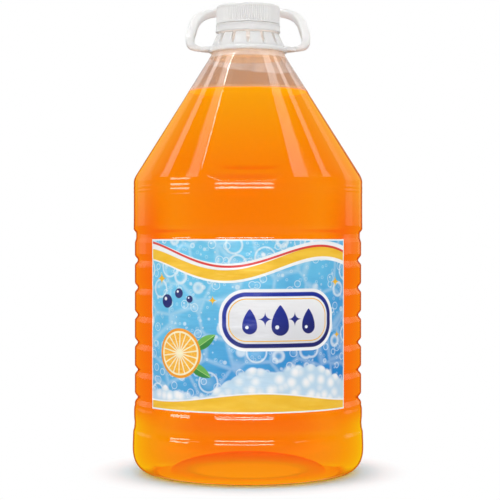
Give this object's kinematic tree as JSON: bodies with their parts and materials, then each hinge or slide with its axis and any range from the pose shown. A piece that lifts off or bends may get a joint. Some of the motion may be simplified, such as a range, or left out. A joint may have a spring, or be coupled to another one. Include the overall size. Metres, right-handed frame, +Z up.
{
  "type": "liquid soap bottle with a carrying handle",
  "caption": "Clear one-gallon bottle of liquid soap with a faceted conical shoulder, ribbed label panel, screw cap, tamper band and a clip-on carrying handle.",
  "frame": {"origin": "middle of the foot ring, on the bottle's axis", "axes": "+Z up along the bottle's axis, -Y towards the label's side, the handle's loop leans back towards +Y"},
  "size_m": [0.1512, 0.1512, 0.3149],
  "materials": {
    "clear_pet": "clear, glossy, blown",
    "orange_soap": "translucent liquid",
    "printed_film": "printed, semi-gloss",
    "cap_plastic": "moulded, semi-gloss",
    "liner_foam": "matte foam",
    "handle_plastic": "moulded, satin"
  },
  "bodies": {
    "bottle": {"bottle": "clear_pet", "liquid_soap": "orange_soap", "front_label": "printed_film", "tamper_band": "cap_plastic"},
    "handle": {"handle": "handle_plastic"},
    "cap_rise": {"cap_liner": "liner_foam"},
    "cap": {"cap": "cap_plastic"}
  },
  "joints": [
    {"name": "handle_swivel", "type": "hinge", "parent": "bottle", "child": "handle", "pos_m": [0, 0, 0.2763], "axis": [0, 0, 1], "continuous": true},
    {"name": "cap_lift", "type": "slide", "parent": "bottle", "child": "cap_rise", "axis": [0, 0, 1], "range_m": [0, 0.0054]},
    {"name": "cap_turn", "type": "hinge", "parent": "cap_rise", "child": "cap", "pos_m": [0, 0, 0.298], "axis": [0, 0, 1], "range_deg": [0, 450]}
  ],
  "couplings": [
    {"joint": "cap_lift", "follows": "cap_turn", "m_per_rad": 0.00067322}
  ]
}
